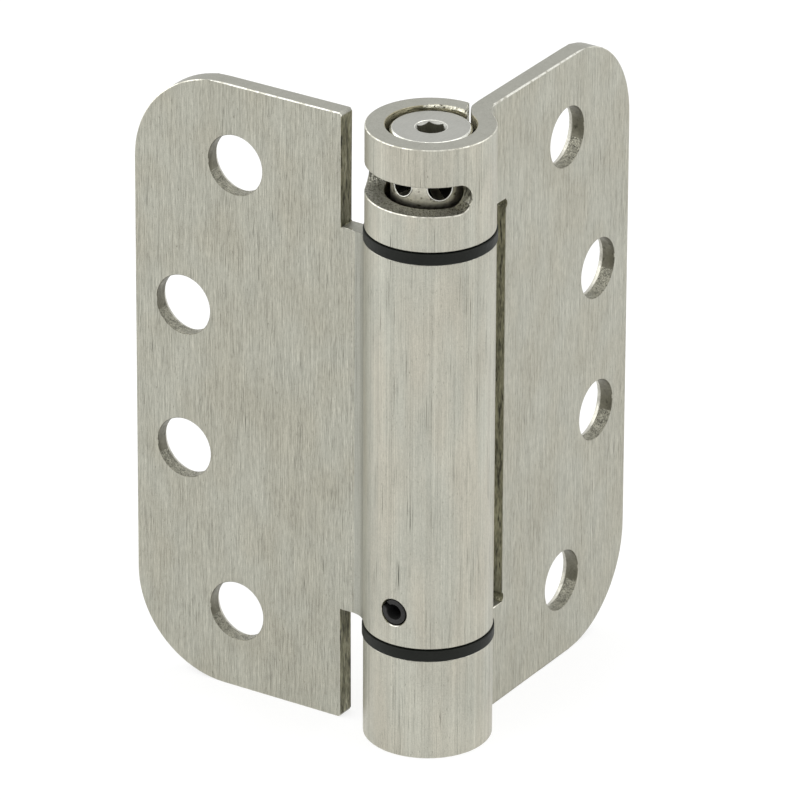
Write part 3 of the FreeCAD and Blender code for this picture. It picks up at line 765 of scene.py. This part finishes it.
def finished_leaf(node, name):
    """The leaf, with every face in its cut's finish and every edge rounded as its kind is."""
    mesh = merged_mesh(node)
    for face in mesh.faces:
        place = own_directions(node, face.calc_center_median())
        face.material_index = leaf_finish(place, own_directions(node, face.normal))
    crease = bend_start(mesh, node)
    print(name, "bend lines:", len(crease))
    # The bend line is rounded in the worn edge's lighter colour: a painted highlight line.
    soften(mesh, crease, CREASE_WIDTH, 1, WORN_HIGHLIGHT)
    soften(mesh, sharp_edges(mesh, chipped(node)), CRUSH_WIDTH, 4, CRUSHED)
    crush(mesh)
    # The top edge gets a painted highlight.
    soften(mesh, sharp_edges(mesh, top_edge_highlighted), BURR_WIDTH, 2, BURR_HIGHLIGHT)
    # Worn edges get a painted highlight.
    soften(mesh, sharp_edges(mesh, worn_and_highlighted), WORN_WIDTH, 2, WORN_HIGHLIGHT)
    soften(mesh, sharp_edges(mesh, outside_reliefs(node)), EDGE_WIDTH, 1)
    for vert in mesh.verts:
        vert.co.z = min(max(vert.co.z, 0), LEAF_HEIGHT)
    close_up(mesh)
    to_piece(mesh, name, leaf_finishes, node)


finished_leaf("centre_knuckle_leaf", "brushed_centre_leaf")
finished_leaf("end_knuckle_leaf", "brushed_end_leaf")

# %% [markdown]
# The plugs are turned from bar. The adjusting plug's faces are told apart by height and by distance
# from the axis. Its side is a true cylinder made of flat strips, and the strips would show in a
# polished neck, so its corners are given the normals of the true cylinder.

# %% A turned piece
LEVEL = 0.999
ROUND_SIDE = 0.985
UPRIGHT = 0.02


def turned_normals(piece):
    """Gives turned and flat faces the normals of the true cylinder and plane."""
    piece.modifiers.clear()
    data = piece.data
    normals = [Vector(corner.vector) for corner in data.corner_normals]
    for face in data.polygons:
        outward = Vector((face.center.x, face.center.y, 0))
        radial = outward.length and face.normal.dot(outward.normalized())
        for corner in face.loop_indices:
            point = data.vertices[data.loops[corner].vertex_index].co
            around = Vector((point.x, point.y, 0))
            on_side = abs(radial) > ROUND_SIDE and abs(face.normal.z) < UPRIGHT
            if abs(face.normal.z) > LEVEL:
                normals[corner] = Vector(face.normal)
            elif on_side and around.length > MM:
                normals[corner] = around.normalized() * math.copysign(1, radial)
    data.normals_split_custom_set(normals)


def everywhere(face, other):
    """Every sharp edge is wanted."""
    return True


def finished_plug(node, name, finishes, rule, burr, wanted=everywhere):
    """A turned piece, each face in the finish its rule gives and its rims in the last finish."""
    mesh = merged_mesh(node)
    for face in mesh.faces:
        face.material_index = rule(face.calc_center_median(), face.normal)
    soften(mesh, sharp_edges(mesh, wanted), burr, 2, len(finishes) - 1)
    turned_normals(to_piece(mesh, name, finishes, node))


# %% The adjusting plug
TOP_FACE, NECK, HOLE_WALL, SOCKET, PLUG_RIM_HIGHLIGHT = range(5)
plug_finishes = [turned_face, turned_neck, bar_hole_painted_shade, socket_wall, lip_painted_highlight]
PLUG_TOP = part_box("adjusting_plug")[1].z
TOP_ZONE = PLUG_TOP - 0.5 * MM
RIM_REACH = 4 * MM
RIM_TILT = 0.95
SOCKET_CORNER = 2.75 * MM
SOCKET_FOOT = PLUG_TOP - 5.1 * MM
AXIS_ZONE = MM / 10
PLUG_EDGE = 0.07 * MM


def plug_finish(place, facing):
    """The finish of a face of the adjusting plug."""
    near_axis = math.hypot(place.x, place.y)
    if facing.z > PARTLY and place.z > TOP_ZONE:
        # The top rim's chamfer gets a painted highlight.
        return PLUG_RIM_HIGHLIGHT if facing.z < RIM_TILT and near_axis > RIM_REACH else TOP_FACE
    if near_axis < SOCKET_CORNER and place.z > SOCKET_FOOT:
        return SOCKET
    outward = (facing.x * place.x + facing.y * place.y) / max(near_axis, AXIS_ZONE)
    return NECK if outward > STRAIGHT or abs(facing.z) > STRAIGHT else HOLE_WALL


def plain_rim(face, other):
    """Every edge but those of the socket and of the bar holes, whose lips are made apart."""
    return not {face.material_index, other.material_index} & {SOCKET, HOLE_WALL}


finished_plug("adjusting_plug", "turned_adjusting_plug", plug_finishes, plug_finish, PLUG_EDGE,
              plain_rim)

# %% [markdown]
# The other round pieces wear one finish all over, with their rims rounded. The steel plugs' rims
# wear the burr's colour, a painted highlight. The nylon bushes and the roll pin keep their own colour
# there, and only catch light.

# %% The anchor plug, the foot plug, the bushes and the roll pin
# The imported piece, its finished copy, the finishes of its faces and rims, the rounding in mm.
ROUND_PIECES = [
    ("anchor_plug", "turned_anchor_plug", turned_neck, burr_painted_highlight, 0.1),
    ("foot_plug", "turned_foot_plug", turned_face, burr_painted_highlight, 0.1),
    ("upper_bush", "nylon_upper_bush", washer_nylon, washer_nylon, 0.15),
    ("lower_bush", "nylon_lower_bush", washer_nylon, washer_nylon, 0.15),
    ("roll_pin", "blackened_roll_pin", blackened_steel, blackened_steel, 0.12),
]


def one_finish(place, facing):
    """Every face wears the first finish."""
    return 0


for node, name, face_finish, rim_finish, rounding in ROUND_PIECES:
    finished_plug(node, name, [face_finish, rim_finish], one_finish, rounding * MM)

# %% [markdown]
# Two pieces follow a rule, so Geometry Nodes make them: the lips round the bar holes, and the
# torsion spring. A tree has named inputs for its sizes. It is run once, on an empty carrier, and its
# result is kept as a plain mesh, because the export and the joints know nothing of trees.

# %% Running a tree once


def grown_mesh(name, inputs, build, material):
    """The plain mesh that a tree makes. Its inputs are named sizes in metres, turns or radians."""
    tree = bpy.data.node_groups.new(name, "GeometryNodeTree")
    plugs = tree.interface
    plugs.new_socket(name="Geometry", in_out="OUTPUT", socket_type="NodeSocketGeometry")
    sockets = {label: plugs.new_socket(name=label, in_out="INPUT", socket_type="NodeSocketFloat")
               for label in inputs}
    shape = build(tree, add(tree, "NodeGroupInput").outputs)
    real = add(tree, "GeometryNodeRealizeInstances", {0: shape})
    dressed = add(tree, "GeometryNodeSetMaterial", {0: real.outputs[0], "Material": material})
    add(tree, "NodeGroupOutput", {0: dressed.outputs[0]})
    carrier = bpy.data.objects.new(name, bpy.data.meshes.new(name))
    scene.collection.objects.link(carrier)
    modifier = carrier.modifiers.new(name, "NODES")
    modifier.node_group = tree
    for label, number in inputs.items():
        modifier[sockets[label].identifier] = number
    graph = bpy.context.evaluated_depsgraph_get()
    plain = bpy.data.meshes.new_from_object(carrier.evaluated_get(graph))
    carrier.modifiers.remove(modifier)
    bpy.data.objects.remove(carrier)
    mesh = bmesh.new()
    mesh.from_mesh(plain)
    bpy.data.meshes.remove(plain)
    bmesh.ops.recalc_face_normals(mesh, faces=mesh.faces)
    return mesh


# %% [markdown]
# Drilling the six bar holes pushed a thin lip of steel up round each mouth. It could be cut into the
# plug's mesh, but a ring of its own is simpler and rounder. One lip is a circle laid on the neck's
# round surface, given thickness, and repeated at every sixth of a turn.

# %% Lips round the bar holes
bar_hole = mounts["adjusting_bar_hole"]
BAR_HOLES = 6
LIP = 0.14 * MM
LIP_STEPS = 48
LIP_SIDES = 8


def lip_tree(tree, given):
    """One lip on the neck's surface, repeated round the axis."""
    circle = add(tree, "GeometryNodeCurvePrimitiveCircle", {"Resolution": LIP_STEPS,
                                                            "Radius": given["Hole radius"]})
    place = add(tree, "GeometryNodeInputPosition").outputs[0]
    flat = add(tree, "ShaderNodeSeparateXYZ", {0: place})
    neck_square = maths(tree, "MULTIPLY", given["Neck radius"], given["Neck radius"])
    side_square = maths(tree, "MULTIPLY", flat.outputs[0], flat.outputs[0])
    outward = maths(tree, "SQRT", maths(tree, "SUBTRACT", neck_square, side_square))
    up = maths(tree, "ADD", flat.outputs[1], given["Height"])
    laid = add(tree, "ShaderNodeCombineXYZ", {0: outward, 1: flat.outputs[0], 2: up})
    ring = add(tree, "GeometryNodeSetPosition", {0: circle.outputs[0], "Position": laid.outputs[0]})
    section = add(tree, "GeometryNodeCurvePrimitiveCircle", {"Resolution": LIP_SIDES,
                                                             "Radius": given["Lip"]})
    lip = add(tree, "GeometryNodeCurveToMesh", {0: ring.outputs[0], 1: section.outputs[0]})
    places = add(tree, "GeometryNodeMeshLine", {"Count": BAR_HOLES, "Offset": (0, 0, 0)})
    index = add(tree, "GeometryNodeInputIndex").outputs[0]
    turn = maths(tree, "MULTIPLY_ADD", index, given["Step"], given["First"])
    rotation = add(tree, "ShaderNodeCombineXYZ", {2: turn})
    lips = add(tree, "GeometryNodeInstanceOnPoints", {
        0: places.outputs[0], "Instance": lip.outputs[0], "Rotation": rotation.outputs[0]})
    return lips.outputs[0]


# The lips wear a painted highlight.
lips = grown_mesh("bar_hole_lips", {
    "Hole radius": bar_hole["dims"]["r_mm"] * MM,
    "Neck radius": math.hypot(*bar_hole["pos_m"][:2]),
    "Height": bar_hole["pos_m"][2],
    "Lip": LIP,
    "Step": math.tau / BAR_HOLES,
    "First": math.atan2(bar_hole["axis"][1], bar_hole["axis"][0]),
}, lip_tree, lip_painted_highlight)
lip_piece = to_piece(lips, "bar_hole_lips", [lip_painted_highlight])
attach(lip_piece, "tension_plug")
print("lips:", BAR_HOLES, "faces:", len(lip_piece.data.polygons))

# %% [markdown]
# The torsion spring is close-wound from square wire, whose two ends run straight across the slots
# of the plugs. The tree sweeps a square with rounded corners along a helix and two straight lines,
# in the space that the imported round-wire spring holds.

# %% The torsion spring
spring_low, spring_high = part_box("torsion_spring")
WIRE = 2.6 * MM
WIRE_CORNER = 0.25 * MM
CORNER_STEPS = 3
NOSE = 3.6 * MM
TURNS = 14
STEPS_A_TURN = 48


def spring_tree(tree, given):
    """Square wire along a helix, with a straight end at its foot and at its head."""
    half = maths(tree, "MULTIPLY", given["Wire"], 0.5)
    section = add(tree, "GeometryNodeCurvePrimitiveQuadrilateral", {"Width": given["Wire"],
                                                                    "Height": given["Wire"]})
    rounded = add(tree, "GeometryNodeFilletCurve", {
        0: section.outputs[0], "Count": CORNER_STEPS, "Radius": given["Corner"]}, mode="POLY")
    radius = maths(tree, "SUBTRACT", given["Outside"], half)
    foot = maths(tree, "ADD", given["Low"], half)
    head = maths(tree, "SUBTRACT", given["High"], half)
    rise = maths(tree, "SUBTRACT", head, foot)
    helix = add(tree, "GeometryNodeCurveSpiral", {
        "Resolution": STEPS_A_TURN, "Rotations": given["Turns"], "Start Radius": radius,
        "End Radius": radius, "Height": rise})
    lift = add(tree, "ShaderNodeCombineXYZ", {2: foot})
    placed = add(tree, "GeometryNodeTransform", {0: helix.outputs[0], "Translation": lift.outputs[0]})
    inner_end = maths(tree, "MULTIPLY", given["Nose"], -1.0)
    paths = add(tree, "GeometryNodeJoinGeometry")
    tree.links.new(placed.outputs[0], paths.inputs[0])
    for level in (foot, head):
        first = add(tree, "ShaderNodeCombineXYZ", {0: inner_end, 2: level})
        last = add(tree, "ShaderNodeCombineXYZ", {0: given["Outside"], 2: level})
        straight = add(tree, "GeometryNodeCurvePrimitiveLine", {"Start": first.outputs[0],
                                                                "End": last.outputs[0]})
        tree.links.new(straight.outputs[0], paths.inputs[0])
    upright = add(tree, "GeometryNodeSetCurveNormal", {0: paths.outputs[0]}, mode="Z_UP")
    wire = add(tree, "GeometryNodeCurveToMesh", {0: upright.outputs[0], 1: rounded.outputs[0],
                                                 "Fill Caps": True})
    return wire.outputs[0]


coil = grown_mesh("torsion_spring_wire", {
    "Wire": WIRE,
    "Corner": WIRE_CORNER,
    "Outside": spring_high.x,
    "Low": spring_low.z,
    "High": spring_high.z,
    "Nose": NOSE,
    "Turns": TURNS,
}, spring_tree, spring_steel)
to_piece(coil, "square_wire_spring", [spring_steel], "torsion_spring")
